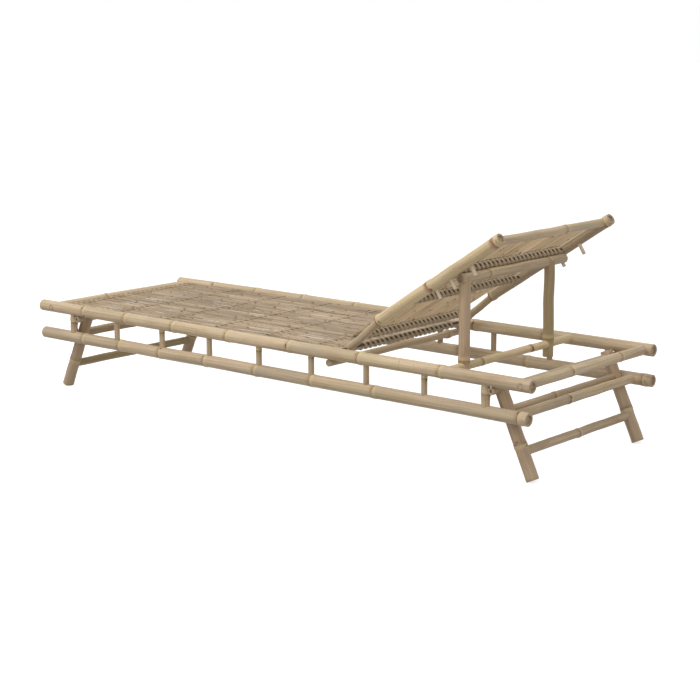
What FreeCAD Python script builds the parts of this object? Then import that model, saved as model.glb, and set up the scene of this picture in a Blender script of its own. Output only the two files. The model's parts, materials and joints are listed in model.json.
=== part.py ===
import FreeCAD, Part
import math
import os

# Bamboo sun lounger with an adjustable backrest, millimetres, +Z up.
# X runs along the lounger towards the head end, Y towards the far side.
# The origin lies on the floor under the middle of the lounger.
# It is built of whole bamboo poles, smaller sticks set into drilled sockets, and split
# bamboo slats tied to battens.

Vec = FreeCAD.Vector
doc = FreeCAD.newDocument("bamboo_recliner")
sheet = doc.addObject("Spreadsheet::Sheet", "dims")

DIMENSIONS = [
    ("railLength", 2000),          # near top rail, end to end
    ("railSpread", 640.8),         # between the axes of the two side frames
    ("railRadius", 19),            # the four long rails
    ("topRailHeight", 277.3),      # axis above the floor
    ("railDrop", 92.6),            # bottom rails below the top rails
    ("farTopFootInset", 12),       # how much shorter each other rail is at each end
    ("nearBottomFootInset", 7),
    ("nearBottomHeadInset", 10),
    ("farBottomFootInset", 10),
    ("railKnotCount", 7),
    ("nearTopFirstKnot", 215),     # first node, from the foot end of each rail
    ("nearTopKnotSpacing", 201.6),
    ("nearTopKnotGrowth", 18.1),   # how much longer each stretch between nodes is than the last
    ("farTopFirstKnot", 180),
    ("farTopKnotSpacing", 210.5),
    ("farTopKnotGrowth", 11),
    ("nearBottomFirstKnot", 203),
    ("nearBottomKnotSpacing", 176),
    ("nearBottomKnotGrowth", 12.8),
    ("farBottomFirstKnot", 190),
    ("farBottomKnotSpacing", 196),
    ("farBottomKnotGrowth", 12),
    ("endKnotInset", 26),          # node that closes the head end of a bottom rail
    ("knotSwell", 0.07),           # node ring beyond the pole, as a share of the pole's own radius
    ("knotRound", 0.35),           # roundness of that ring, same share
    ("endBoreShare", 0.6),         # hollow of a cut pole, as a share of the pole's own radius
    ("endBoreDepth", 7),           # down to the wall of the node that closes it
    ("socketDepth", 12),           # how deep sticks are set into a pole
    ("socketGap", 0.1),            # radial gap of a set stick
    ("drillOver", 4),              # how far a drill starts outside the pole
    ("restGap", 0.1),              # gap where one pole lies along another
    ("crossRailRadius", 15),       # cross rails between the top rails
    ("crossRailTenon", 11),        # their tenons, which show on the outer faces
    ("footCrossInset", 60),        # from the foot end of the rails
    ("headCrossInset", 29),        # from their head end
    ("crossKnotAt", -91),          # node of a cross rail, off the middle
    ("stopRailRadius", 14),        # bottom cross rails that the legs lean on
    ("stopKnotAt", -45),
    ("legStopGap", 0.3),           # between a leg and the rail that it leans on
    ("postRadius", 12),
    ("postInset", 154),            # from either end of the rails
    ("postKnotRise", 6),           # node of a post above the middle between the rails
    ("spindleRadius", 9),
    ("spindleCount", 7),
    ("battenRadius", 8),           # sticks under the seat slats
    ("seatBattenDrop", 7.3),       # below the axes of the top rails
    ("seatBattenFootInset", 47),   # first one, from the foot cross rail
    ("seatBattenHeadInset", 111),  # last one, from the end of the slats
    ("seatBattenCount", 6),
    ("cordRadius", 1.5),           # cord wound on the battens
    ("cordGap", 0.1),              # clear of the stick inside it, and of what lies on it
    ("seatCordTurns", 24),
    ("backCordTurns", 24),
    ("hingeCordTurns", 20),
    ("hingeCordPitch", 22.9),
    ("slatThickness", 5),
    ("slatGap", 3.4),
    ("slatEndGap", 1.5),
    ("slatSideGap", 2.5),
    ("seatSlatCount", 26),
    ("seatSlatSetBack", 19),       # their end, from the hinge
    ("bearerRadius", 11),          # stick under the top rails in front of the hinge
    ("bearerSetBack", 39),         # from the hinge
    ("bearerOverhang", 5),         # its ends beyond the axes of the rails
    ("legRodRadius", 11),          # sticks that the legs fold on
    ("legRodOverhang", 9),
    ("rodPinRadius", 2.5),         # bamboo nails through post and leg rod
    ("rodPinDepth", 16),
    ("pivotGap", 0.05),            # running fit of every pivot
    ("pivotEndGap", 0.5),
    ("hingeInset", 678),           # backrest hinge, from the head end of the rails
    ("hingeLift", 8.7),            # above the axis of the top rails
    ("hingeRodRadius", 8),
    ("reclineAngle", 33.1),        # as photographed
    ("backRailSpread", 566),
    ("backRailRadius", 17),
    ("backRailOffset", 20),        # axis of the backrest poles above the hinge
    ("backRailStart", 150),        # along the backrest, from the hinge
    ("backRailEnd", 658),
    ("backFirstKnot", 226),        # from the low end of a backrest pole
    ("backKnotSpacing", 265),
    ("backKnotCount", 2),
    ("tongueRadius", 11.5),        # thinner poles that carry the backrest poles on the hinge
    ("tongueTail", 13),
    ("tongueRise", 16.5),          # their rise over backRailStart
    ("tongueDepth", 26),
    ("tongueDrillOver", 12),       # the drill enters the pole's mouth at a slant
    ("backBattenRadius", 8.5),
    ("backBattenDrop", 1.5),       # battens below the axes of the backrest poles
    ("lowBattenAt", 38),
    ("midBattenAt", 280),
    ("backHeadAt", 632),
    ("backHeadRadius", 12.5),
    ("backHeadRaise", 3),
    ("backHeadKnotAt", 71),
    ("backSlatCount", 25),
    ("backSlatStart", 12),
    ("pegRadius", 5.5),
    ("pegReach", 30),              # below the backrest pole
    ("pegInset", 6),               # inward from the axis of the backrest pole
    ("pegGap", 0.4),
    ("pegPitchUp", 82),
    ("pegPitchDown", 60),
    ("propSetOff", 394),           # pivot of the prop frame, from the hinge
    ("propLift", 5.7),
    ("propRodRadius", 12),
    ("propRodKnotAt", -160),
    ("propReach", 250),            # pivot to top bar
    ("propTail", 39),
    ("propHorn", 3.5),             # posts beyond the axis of the top bar
    ("propPostRadius", 16.5),
    ("propPostKnotAt", 17),        # above the pivot
    ("propNearPost", 243),
    ("propFarPost", 185),
    ("propBarRadius", 14),
    ("propBarHalf", 264.5),
    ("propBarGap", 0.3),           # top bar below the cord on the batten that it holds up
    ("propPinRadius", 3),
    ("propPinHead", 2),
    ("legRadius", 19),
    ("legSplay", 24.5),            # from the vertical
    ("legTop", 20),                # above the pivot
    ("legSideGap", 2.2),
    ("legTrim", 3),                # inner edge of the foot cut flat to the floor
    ("footBoreDepth", 12),
    ("footBoreShare", 0.45),
    ("legKnotDrop", 163),
    ("lowStretcherDrop", 183.5),   # along the leg from its pivot
    ("lowStretcherRadius", 13),
    ("highStretcherDrop", 62),
    ("highStretcherRadius", 11),
    ("lowStretcherKnotAt", -5),
    ("highStretcherKnotAt", -54),
]
for row, (alias, value) in enumerate(DIMENSIONS, start=1):
    sheet.set("A%d" % row, alias)
    sheet.set("B%d" % row, str(value))
    sheet.setAlias("B%d" % row, alias)
doc.recompute()


def number(alias):
    """Value of one cell, in millimetres, for the paths that are worked out point by point."""
    return float(sheet.get(alias))


def size(alias):
    """Value of one cell, for the few counts that loops need."""
    return int(round(number(alias)))


# Formulas that several pieces share
HALF_SPREAD = "dims.railSpread / 2"
INNER_FACE = "(dims.railSpread / 2 - dims.railRadius)"
SOCKET_END = "(dims.railSpread / 2 - dims.railRadius + dims.socketDepth)"
CROSS_AT = {"foot": "(dims.footCrossInset - dims.railLength / 2)",
            "head": "(dims.railLength / 2 - dims.headCrossInset)"}
POST_AT = "(dims.railLength / 2 - dims.postInset)"
HINGE_AT = "(dims.railLength / 2 - dims.hingeInset)"
PROP_AT = "(%s + dims.propSetOff)" % HINGE_AT
SEAT_SLAT_END = "(%s - dims.seatSlatSetBack)" % HINGE_AT
RAIL_Z = {"top": "dims.topRailHeight", "bottom": "(dims.topRailHeight - dims.railDrop)"}
SEAT_BATTEN_Z = "(dims.topRailHeight - dims.seatBattenDrop)"
CORD_THICKNESS = "(2 * (dims.cordRadius + dims.cordGap))"
UNDER_TOP_RAIL = "(dims.topRailHeight - dims.railRadius - %s - dims.restGap)"
LEG_ROD_Z = UNDER_TOP_RAIL % "dims.legRodRadius"
BEARER_Z = UNDER_TOP_RAIL % "dims.bearerRadius"
LEG_ROD_SHIFT = "(dims.postRadius + dims.legRodRadius + dims.restGap)"
LEG_SIDE = "(dims.railSpread / 2 - dims.railRadius - dims.legSideGap - dims.legRadius)"
LEG_LENGTH = ("((%s + dims.legTrim - dims.legRadius * sin(dims.legSplay)) / cos(dims.legSplay))"
              % LEG_ROD_Z)
STOP_RAIL_SHIFT = ("((%s - %s) * tan(dims.legSplay)"
                   " + (dims.legRadius + dims.stopRailRadius + dims.legStopGap) / cos(dims.legSplay))"
                   % (LEG_ROD_Z, RAIL_Z["bottom"]))
SEAT_SLAT_Z = "(%s + dims.battenRadius + %s + dims.cordGap)" % (SEAT_BATTEN_Z, CORD_THICKNESS)
BACK_SLAT_N = ("(dims.backRailOffset - dims.backBattenDrop + dims.backBattenRadius"
               " + %s + dims.cordGap)" % CORD_THICKNESS)
BACK_BATTEN_N = "(dims.backRailOffset - dims.backBattenDrop)"
BACK_HALF = "(dims.backRailSpread / 2)"
HINGE_Z = "(dims.topRailHeight + dims.hingeLift)"
PROP_Z = "(dims.topRailHeight + dims.propLift)"
# The top bar of the prop lies under the cord on the upper batten. BAR_N is its height over the
# hinge, square to the backrest, and BAR_S its place along the backrest
BAR_N = ("(dims.backRailOffset - dims.backBattenDrop - dims.backBattenRadius"
         " - %s - dims.propBarGap - dims.propBarRadius)" % CORD_THICKNESS)
PROP_RUN = "dims.propSetOff"
PROP_RISE = "(dims.propLift - dims.hingeLift)"
PIVOT_N = "(%s * cos(dims.reclineAngle) - %s * sin(dims.reclineAngle))" % (PROP_RISE, PROP_RUN)
PIVOT_S = "(%s * cos(dims.reclineAngle) + %s * sin(dims.reclineAngle))" % (PROP_RUN, PROP_RISE)
BAR_SWING = "acos((%s - %s) / dims.propReach)" % (BAR_N, PIVOT_N)
BAR_S = "(%s + dims.propReach * sin(%s))" % (PIVOT_S, BAR_SWING)
PEG_S = "(%s - dims.propBarRadius - dims.pegRadius - dims.pegGap)" % BAR_S

ALONG = {
    "x": FreeCAD.Rotation(Vec(0, 1, 0), 90),
    "y": FreeCAD.Rotation(Vec(1, 0, 0), -90),
    "z": FreeCAD.Rotation(),
}


def bind(obj, formulas):
    """Ties properties of an object to formulas in the sheet's names."""
    for prop, formula in formulas.items():
        obj.setExpression(prop, formula)
    return obj


def locate(obj, base):
    """Ties an object's position to three formulas; plain 0 is left alone."""
    for letter, formula in zip("xyz", base):
        if formula != 0:
            obj.setExpression("Placement.Base." + letter, str(formula))
    return obj


def stick(name, axis, base, length, radius):
    """Round stick along x, y or z that starts at base."""
    obj = doc.addObject("Part::Cylinder", name)
    obj.Placement.Rotation = ALONG[axis]
    bind(obj, {"Radius": radius, "Height": length})
    return locate(obj, base)


def knot(name, axis, base, radius):
    """Swollen ring of a bamboo node round a pole of the given radius."""
    obj = doc.addObject("Part::Torus", name)
    obj.Placement.Rotation = ALONG[axis]
    bind(obj, {"Radius1": "%s * (1 + dims.knotSwell - dims.knotRound)" % radius,
               "Radius2": "%s * dims.knotRound" % radius})
    return locate(obj, base)


def fused(name, solids):
    obj = doc.addObject("Part::MultiFuse", name)
    obj.Shapes = solids
    return obj


def cut(name, base, tools):
    obj = doc.addObject("Part::Cut", name)
    obj.Base = base
    obj.Tool = tools[0] if len(tools) == 1 else fused(name + "_drill", tools)
    return obj


def group(name, solids):
    obj = doc.addObject("Part::Compound", name)
    obj.Links = solids
    return obj


def along(axis, offset):
    """Base point at offset on the given axis."""
    return [offset if letter == axis else 0 for letter in "xyz"]


def pole(name, axis, start, length, radius, knots=(), bores=(), drills=()):
    """Bamboo pole on its own axis: round culm, node rings, hollow cut ends and drilled holes.

    start and each knot are places on the axis, bores names its hollow ends."""
    solid = stick(name + "_culm", axis, along(axis, start), length, radius)
    if knots:
        rings = [knot("%s_knot_%d" % (name, i), axis, along(axis, place), radius)
                 for i, place in enumerate(knots)]
        solid = fused(name + "_grown", [solid] + rings)
    tools = list(drills)
    bore_radius = "%s * dims.endBoreShare" % radius
    bore_length = "dims.endBoreDepth + dims.drillOver"
    if "start" in bores:
        tools.append(stick(name + "_bore_a", axis, along(axis, "%s - dims.drillOver" % start),
                           bore_length, bore_radius))
    if "end" in bores:
        end = "%s + %s - dims.endBoreDepth" % (start, length)
        tools.append(stick(name + "_bore_b", axis, along(axis, end), bore_length, bore_radius))
    return cut(name + "_cut", solid, tools) if tools else solid


nodes = []


def node(obj, label, base=(0, 0, 0), tilt=None):
    """Names a finished sub-part and puts it in its place; tilt turns it about Y."""
    obj.Label = label
    if tilt:
        obj.Placement.Rotation = FreeCAD.Rotation(Vec(0, 1, 0), 1)
        obj.setExpression("Placement.Rotation.Angle", tilt)
    locate(obj, base)
    nodes.append(obj)
    return obj


def side_socket(name, side, x, z, radius):
    """Blind hole from the inner side of a long rail, for a stick along Y."""
    if side < 0:
        y = "dims.railRadius - dims.socketDepth"
    else:
        y = "-dims.railRadius - dims.drillOver"
    return stick(name, "y", (x, y, z), "dims.socketDepth + dims.drillOver", radius)


def edge_socket(name, level, x, radius):
    """Blind hole for an upright stick, under a top rail or on top of a bottom rail."""
    if level == "top":
        z = "-dims.railRadius - dims.drillOver"
    else:
        z = "dims.railRadius - dims.socketDepth"
    return stick(name, "z", (x, 0, z), "dims.socketDepth + dims.drillOver", radius)


# Spindles and posts share the rail evenly; so do the seat battens between the first and the last
SPINDLE_PITCH = "2 * %s / (dims.spindleCount + 1)" % POST_AT
SPINDLES = ["%s * %g" % (SPINDLE_PITCH, i - (size("spindleCount") - 1) / 2)
            for i in range(size("spindleCount"))]
POSTS = {"foot": "-" + POST_AT, "head": POST_AT}
SEAT_BATTEN_START = "(%s + dims.seatBattenFootInset)" % CROSS_AT["foot"]
SEAT_BATTEN_PITCH = ("(%s - dims.seatBattenHeadInset - %s) / (dims.seatBattenCount - 1)"
                     % (SEAT_SLAT_END, SEAT_BATTEN_START))
SEAT_BATTENS = ["%s + %s * %d" % (SEAT_BATTEN_START, SEAT_BATTEN_PITCH, i)
                for i in range(size("seatBattenCount"))]
SIDES = {"near": -1, "far": 1}
# Insets of each long rail at its foot end and head end
RAILS = {
    ("near", "top"): ("0", "0"),
    ("far", "top"): ("dims.farTopFootInset", "0"),
    ("near", "bottom"): ("dims.nearBottomFootInset", "dims.nearBottomHeadInset"),
    ("far", "bottom"): ("dims.farBottomFootInset", "0"),
}


def long_rail(side, level):
    """One of the four long rails, with every socket drilled into it."""
    name = "%s_%s_rail" % (side, level)
    sign = SIDES[side]
    foot_inset, head_inset = RAILS[side, level]
    start = "(-dims.railLength / 2 + %s)" % foot_inset
    length = "(dims.railLength - %s - %s)" % (foot_inset, head_inset)
    culm = "dims." + side + level.title()
    knots = ["%s + %sFirstKnot + %sKnotSpacing * %d + %sKnotGrowth * %d"
             % (start, culm, culm, i, culm, i * (i - 1) / 2) for i in range(size("railKnotCount"))]
    if level == "bottom":
        knots.append("%s + %s - dims.endKnotInset" % (start, length))
    drills = [edge_socket("%s_spindle_hole_%d" % (name, i), level, x,
                          "dims.spindleRadius + dims.socketGap") for i, x in enumerate(SPINDLES)]
    drills += [edge_socket("%s_%s_post_hole" % (name, end), level, x,
                           "dims.postRadius + dims.socketGap") for end, x in POSTS.items()]
    if level == "top":
        for end in ("foot", "head"):
            place = CROSS_AT[end]
            drills.append(side_socket("%s_%s_cross_hole" % (name, end), sign, place, 0,
                                      "dims.crossRailRadius + dims.socketGap"))
            drills.append(stick("%s_%s_tenon_hole" % (name, end), "y",
                                (place, "-dims.railRadius - dims.drillOver", 0),
                                "2 * (dims.railRadius + dims.drillOver)",
                                "dims.crossRailTenon + dims.socketGap"))
        for i, x in enumerate(SEAT_BATTENS):
            drills.append(side_socket("%s_batten_hole_%d" % (name, i), sign, x,
                                      "-dims.seatBattenDrop",
                                      "dims.battenRadius + dims.socketGap"))
        drills.append(side_socket(name + "_prop_hole", sign, PROP_AT, "dims.propLift",
                                  "dims.propRodRadius + dims.socketGap"))
        drills.append(side_socket(name + "_hinge_hole", sign, HINGE_AT, "dims.hingeLift",
                                  "dims.hingeRodRadius + dims.pivotGap"))
    else:
        for end, x in POSTS.items():
            place = "%s + %s %s %s" % (x, LEG_ROD_SHIFT, "+" if end == "head" else "-",
                                       STOP_RAIL_SHIFT)
            drills.append(side_socket("%s_%s_stop_hole" % (name, end), sign, place, 0,
                                      "dims.stopRailRadius + dims.socketGap"))
    rail = pole(name, "x", start, length, "dims.railRadius", knots, ("start", "end"), drills)
    node(rail, name, (0, "%d * %s" % (sign, HALF_SPREAD), RAIL_Z[level]))


def cross_rail(end):
    """Cross rail between the top rails; its tenons go right through them."""
    name = end + "_cross_rail"
    body = stick(name + "_body", "y", (0, "-" + SOCKET_END, 0), "2 * " + SOCKET_END,
                 "dims.crossRailRadius")
    outer = "(dims.railSpread / 2 + dims.railRadius)"
    tenon = stick(name + "_tenon", "y", (0, "-" + outer, 0), "2 * " + outer,
                  "dims.crossRailTenon")
    ring = knot(name + "_knot", "y", (0, "dims.crossKnotAt", 0), "dims.crossRailRadius")
    node(fused(name + "_solid", [body, tenon, ring]), name,
         (CROSS_AT[end], 0, RAIL_Z["top"]))


def set_rod(label, x, z, radius, knots=(), end=SOCKET_END):
    """Stick along Y whose two ends sit in the long rails."""
    rod = pole(label, "y", "-" + end, "2 * " + end, radius, knots)
    node(rod, label, (x, 0, z))


def side_frame(side):
    """Posts and spindles between a top rail and the bottom rail under it."""
    y = "%d * %s" % (SIDES[side], HALF_SPREAD)
    foot = "(%s + dims.railRadius - dims.socketDepth)" % RAIL_Z["bottom"]
    height = "(dims.railDrop - 2 * dims.railRadius + 2 * dims.socketDepth)"
    for end, x in POSTS.items():
        name = "%s_%s_post" % (side, end)
        middle = "%s / 2 + dims.postKnotRise" % height
        pin_hole = stick(name + "_pin_hole", "x",
                         ("-dims.postRadius - dims.drillOver", 0, "%s - %s" % (LEG_ROD_Z, foot)),
                         "2 * (dims.postRadius + dims.drillOver)",
                         "dims.rodPinRadius + dims.socketGap")
        post = pole(name, "z", "0", height, "dims.postRadius", [middle], (), [pin_hole])
        node(post, name, (x, y, foot))
    sticks = [stick("%s_spindle_%d" % (side, i), "z", (x, 0, 0), height, "dims.spindleRadius")
              for i, x in enumerate(SPINDLES)]
    node(group(side + "_spindle_group", sticks), side + "_spindles", (0, y, foot))


def leg_rod(end):
    """Rod against the posts and under the top rails, on which two legs fold."""
    name = end + "_leg_rod"
    half = "(dims.railSpread / 2 + dims.legRodOverhang)"
    drills = [stick("%s_%s_pin_hole" % (name, side), "x",
                    ("-dims.legRodRadius - dims.drillOver", "%d * %s" % (sign, HALF_SPREAD), 0),
                    "dims.rodPinDepth + dims.drillOver", "dims.rodPinRadius + dims.socketGap")
              for side, sign in SIDES.items()]
    rod = pole(name, "y", "-" + half, "2 * " + half, "dims.legRodRadius", (), (), drills)
    node(rod, name, ("%s + %s" % (POSTS[end], LEG_ROD_SHIFT), 0, LEG_ROD_Z))


def rod_pins():
    """Bamboo nails through each post into the leg rod beside it."""
    pins = []
    for end, x in POSTS.items():
        for side, sign in SIDES.items():
            length = "2 * dims.postRadius + dims.restGap + dims.rodPinDepth"
            pins.append(stick("%s_%s_pin" % (side, end), "x",
                              (x + " - dims.postRadius", "%d * %s" % (sign, HALF_SPREAD), LEG_ROD_Z),
                              length, "dims.rodPinRadius"))
    node(group("pins", pins), "leg_rod_pins")


def slat_row(label, count, start, end, height, half_width):
    """Row of split bamboo slats along x, side by side over the width."""
    pitch = "(2 * %s / %d)" % (half_width, count)
    slats = []
    for i in range(count):
        slat = doc.addObject("Part::Box", "%s_%d" % (label, i))
        bind(slat, {"Length": "%s - %s" % (end, start), "Width": "%s - dims.slatGap" % pitch,
                    "Height": "dims.slatThickness"})
        edge = "%s * %g + dims.slatGap / 2" % (pitch, i - count / 2)
        locate(slat, (start, edge, height))
        slats.append(slat)
    return group(label + "_row", slats)


def arc(start, way, end):
    """Arc from start to end that leaves start along way."""
    chord = end - start
    ahead = Vec(chord)
    ahead.normalize()
    aside = way - ahead * way.dot(ahead)
    aside.normalize()
    height = chord.Length / 2 * math.tan(way.getAngle(chord) / 2)
    return Part.Arc(start, (start + end) / 2 + aside * height, end).toShape()


def biarc(start, start_way, end, end_way):
    """Two arcs that run smoothly into each other and keep the way at both ends."""
    span = end - start
    both = start_way + end_way
    bend = 2 * (1 - start_way.dot(end_way))
    reach = (math.sqrt(span.dot(both) ** 2 + bend * span.dot(span)) - span.dot(both)) / bend
    middle = (start + end + (start_way - end_way) * reach) / 2
    middle_way = span - both * reach
    middle_way.normalize()
    return [arc(start, start_way, middle), arc(middle, middle_way, end)]


def wound_cord(name, stick_alias, turns, pitch, first):
    """Cord wound round a stick along Y, as one tube on a helix that starts under the stick."""
    cord = number("cordRadius")
    radius = number(stick_alias) + number("cordGap") + cord
    rise = pitch / (2 * math.pi)

    def place(turn):
        angle = 2 * math.pi * turn
        return Vec(-radius * math.sin(angle), first + rise * angle, -radius * math.cos(angle))

    def way(turn):
        angle = 2 * math.pi * turn
        ahead = Vec(-radius * math.cos(angle), rise, radius * math.sin(angle))
        ahead.normalize()
        return ahead

    arcs = []
    for quarter in range(4 * turns):
        here, there = quarter / 4, (quarter + 1) / 4
        arcs += biarc(place(here), way(here), place(there), way(there))
    path = Part.Wire(arcs)
    section = Part.Wire(Part.makeCircle(cord, place(0), way(0)))
    points = path.discretize(Number=24 * turns)
    clear = min(points[i].distanceToPoint(points[j]) for i in range(len(points))
                for j in range(i + 12, len(points))) - 2 * cord
    print("%s: least gap to itself %.1f mm" % (name, clear))
    obj = doc.addObject("Part::Feature", name)
    obj.Shape = path.makePipeShell([section], True, False)
    return obj


def slat_cord(name, stick_alias, turns, count, half_width):
    """Cord wound on a batten from the middle of the first slat to the middle of the last."""
    slat_pitch = 2 * half_width / count
    return wound_cord(name, stick_alias, turns, slat_pitch * (count - 1) / turns,
                      -slat_pitch * (count - 1) / 2)


def seat():
    """Battens set into the top rails, cord wound on them and the slats of the seat."""
    battens = [stick("seat_batten_%d" % i, "y", (x, "-" + SOCKET_END, 0), "2 * " + SOCKET_END,
                     "dims.battenRadius") for i, x in enumerate(SEAT_BATTENS)]
    node(group("seat_batten_group", battens), "seat_battens", (0, 0, SEAT_BATTEN_Z))
    count = size("seatSlatCount")
    half = "(%s - dims.slatSideGap)" % INNER_FACE
    half_width = number("railSpread") / 2 - number("railRadius") - number("slatSideGap")
    cords = [locate(slat_cord("seat_cord_%d" % i, "battenRadius", size("seatCordTurns"), count,
                              half_width), (x, 0, 0))
             for i, x in enumerate(SEAT_BATTENS)]
    node(group("seat_cords", cords), "seat_batten_cords", (0, 0, SEAT_BATTEN_Z))
    slats = slat_row("seat_slat", count,
                     "(%s + dims.crossRailRadius + dims.slatEndGap)" % CROSS_AT["foot"],
                     SEAT_SLAT_END, 0, half)
    node(slats, "seat_slats", (0, 0, SEAT_SLAT_Z))


HINGE = (HINGE_AT, 0, HINGE_Z)
RECLINE = "-dims.reclineAngle"
BACK_INNER = "(%s - dims.backRailRadius)" % BACK_HALF
BACK_BATTENS = {"low": "dims.lowBattenAt", "mid": "dims.midBattenAt", "high": BAR_S}
PEGS = [PEG_S, PEG_S + " + dims.pegPitchUp", PEG_S + " - dims.pegPitchDown"]
TONGUE_SLOPE = "atan(dims.tongueRise / dims.backRailStart)"


def back_socket(name, sign, s, n, radius):
    """Blind hole from the inner side of a backrest pole."""
    if sign < 0:
        y = "dims.backRailRadius - dims.socketDepth"
    else:
        y = "-dims.backRailRadius - dims.drillOver"
    return stick(name, "y", (s, y, n), "dims.socketDepth + dims.drillOver", radius)


def tongue_bar(name, start, length, radius):
    """Cylinder along the sloping axis of a hinge tongue, from a distance start off the hinge."""
    bar = doc.addObject("Part::Cylinder", name)
    bind(bar, {"Radius": radius, "Height": length})
    bar.Placement.Rotation = FreeCAD.Rotation(Vec(0, 1, 0), 80)
    bar.setExpression("Placement.Rotation.Angle", "90 - %s / 1 deg" % TONGUE_SLOPE)
    return locate(bar, ("%s * cos(%s)" % (start, TONGUE_SLOPE), 0,
                        "%s * sin(%s)" % (start, TONGUE_SLOPE)))


def back_side(side):
    """Backrest pole, the thinner tongue that joins it to the hinge rod, and its rack of pegs."""
    sign = SIDES[side]
    y = "%d * %s" % (sign, BACK_HALF)
    place = (HINGE[0], y, HINGE[2])
    name = "backrest_%s_rail" % side
    n = "dims.backRailOffset"
    drills = [back_socket("%s_%s_hole" % (name, which), sign, s, "-dims.backBattenDrop",
                          "dims.backBattenRadius + dims.socketGap")
              for which, s in BACK_BATTENS.items() if which != "low"]
    drills.append(back_socket(name + "_head_hole", sign, "dims.backHeadAt", "dims.backHeadRaise",
                              "dims.backHeadRadius + dims.socketGap"))
    inward = "%d * dims.pegInset" % -sign
    for i, s in enumerate(PEGS):
        drills.append(stick("%s_peg_hole_%d" % (name, i), "z",
                            (s, inward, "-dims.backRailRadius - dims.drillOver"),
                            "dims.socketDepth + dims.drillOver", "dims.pegRadius + dims.socketGap"))
    mouth = "sqrt(pow(dims.backRailStart; 2) + pow(dims.tongueRise; 2))"
    seat_hole = tongue_bar(name + "_seat", "(%s - dims.tongueDrillOver)" % mouth,
                           "dims.tongueDrillOver + dims.tongueDepth",
                           "dims.tongueRadius + dims.socketGap")
    seat_hole.setExpression("Placement.Base.z", "(%s - dims.tongueDrillOver) * sin(%s) - %s"
                            % (mouth, TONGUE_SLOPE, n))
    drills.append(seat_hole)
    knots = ["dims.backRailStart + dims.backFirstKnot + dims.backKnotSpacing * %d" % i
             for i in range(size("backKnotCount"))]
    rail = pole(name, "x", "dims.backRailStart", "(dims.backRailEnd - dims.backRailStart)",
                "dims.backRailRadius", knots, ("end",), drills)
    lifted = group(name + "_lifted", [rail])
    rail.setExpression("Placement.Base.z", n)
    node(lifted, name, place, RECLINE)

    name = "%s_hinge_tongue" % side
    bar = tongue_bar(name + "_bar", "-dims.tongueTail",
                     "dims.tongueTail + %s + dims.tongueDepth" % mouth, "dims.tongueRadius")
    hole = stick(name + "_hole", "y", (0, "-dims.tongueRadius - dims.drillOver", 0),
                 "2 * (dims.tongueRadius + dims.drillOver)", "dims.hingeRodRadius + dims.socketGap")
    inner = "dims.backRailRadius - dims.socketDepth"
    low_y = inner if sign < 0 else "-dims.backRailRadius - dims.drillOver"
    low_hole = stick(name + "_batten_hole", "y", ("dims.lowBattenAt", low_y, BACK_BATTEN_N),
                     "dims.socketDepth + dims.drillOver", "dims.backBattenRadius + dims.socketGap")
    node(cut(name + "_solid", bar, [hole, low_hole]), name, place, RECLINE)

    name = "%s_rack_pegs" % side
    pegs = [stick("%s_%d" % (name, i), "z",
                  (s, inward, n + " - dims.backRailRadius - dims.pegReach"),
                  "dims.pegReach + dims.socketDepth", "dims.pegRadius")
            for i, s in enumerate(PEGS)]
    node(group(name + "_group", pegs), name, place, RECLINE)


def backrest():
    """Poles, battens, cord and slats of the backrest, all in its own tilted frame."""
    for side in SIDES:
        back_side(side)
    rod_half = "(%s - dims.pivotEndGap)" % SOCKET_END
    rod = stick("hinge_stick", "y", (0, "-" + rod_half, 0), "2 * " + rod_half,
                "dims.hingeRodRadius")
    node(group("hinge_rod_group", [rod]), "hinge_rod", HINGE, RECLINE)
    batten_half = "(%s + dims.socketDepth)" % BACK_INNER
    for which, s in BACK_BATTENS.items():
        bar = stick(which + "_batten_stick", "y", (s, "-" + batten_half, BACK_BATTEN_N),
                    "2 * " + batten_half, "dims.backBattenRadius")
        node(group(which + "_batten_group", [bar]), "backrest_%s_batten" % which, HINGE, RECLINE)
    head = pole("backrest_head", "y", "-" + batten_half, "2 * " + batten_half,
                "dims.backHeadRadius", ["dims.backHeadKnotAt"])
    locate(head, ("dims.backHeadAt", 0, "dims.backRailOffset + dims.backHeadRaise"))
    node(group("backrest_head_group", [head]), "backrest_head_rail", HINGE, RECLINE)
    count = size("backSlatCount")
    half = "(%s - dims.slatSideGap)" % BACK_INNER
    half_width = number("backRailSpread") / 2 - number("backRailRadius") - number("slatSideGap")
    for which, s in BACK_BATTENS.items():
        cord = slat_cord(which + "_cord", "backBattenRadius", size("backCordTurns"), count,
                         half_width)
        locate(cord, (s, 0, BACK_BATTEN_N))
        node(group(which + "_cord_group", [cord]), "%s_batten_cord" % which, HINGE, RECLINE)
    turns = size("hingeCordTurns")
    pitch = number("hingeCordPitch")
    cord = wound_cord("hinge_wound", "hingeRodRadius", turns, pitch, -pitch * turns / 2)
    node(group("hinge_wound_group", [cord]), "hinge_cord", HINGE, RECLINE)
    slats = slat_row("back_slat", count, "dims.backSlatStart",
                     "(dims.backHeadAt - dims.backHeadRadius - dims.slatEndGap)", BACK_SLAT_N, half)
    node(slats, "backrest_slats", HINGE, RECLINE)


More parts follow.
